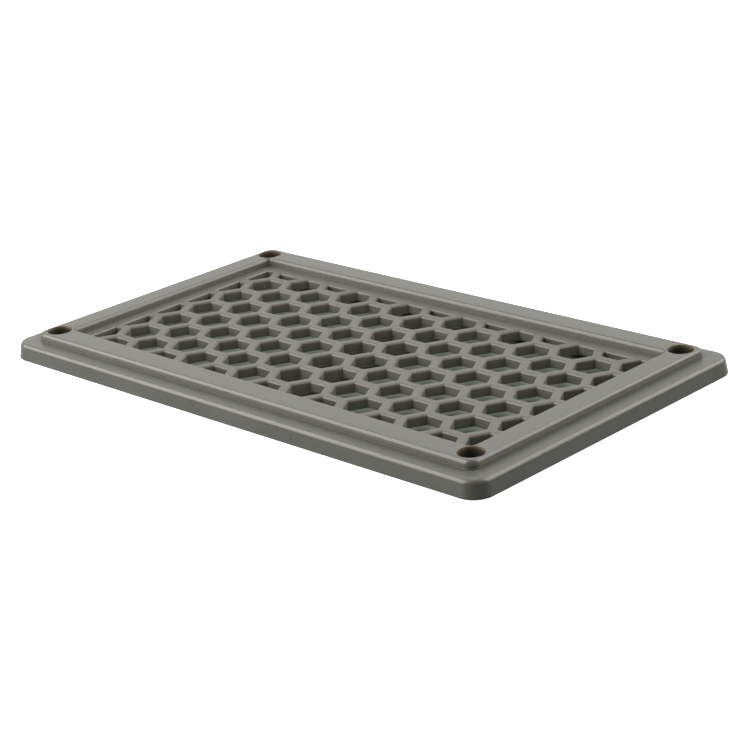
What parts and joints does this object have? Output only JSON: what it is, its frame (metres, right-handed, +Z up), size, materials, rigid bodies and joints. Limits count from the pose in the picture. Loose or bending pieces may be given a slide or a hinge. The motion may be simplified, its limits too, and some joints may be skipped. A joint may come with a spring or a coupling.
{
  "type": "queen excluder",
  "caption": "Flat rectangular queen excluder plate with a stepped, sloping rim, a raised border with corner bores, and a sunk honeycomb panel that worker bees pass through.",
  "frame": {"origin": "middle of the plate's underside, where it rests", "axes": "+X along the length, +Y across the width, +Z up out of the face with the raised border"},
  "size_m": [0.0812, 0.047, 0.0033],
  "materials": {
    "flange_plastic": "satin moulded",
    "panel_plastic": "satin moulded",
    "border_plastic": "satin moulded",
    "stiffener_plastic": "satin moulded"
  },
  "bodies": {
    "root": {"base_flange": "flange_plastic", "honeycomb_panel": "panel_plastic", "raised_border": "border_plastic", "centre_stiffener": "stiffener_plastic"}
  },
  "joints": []
}
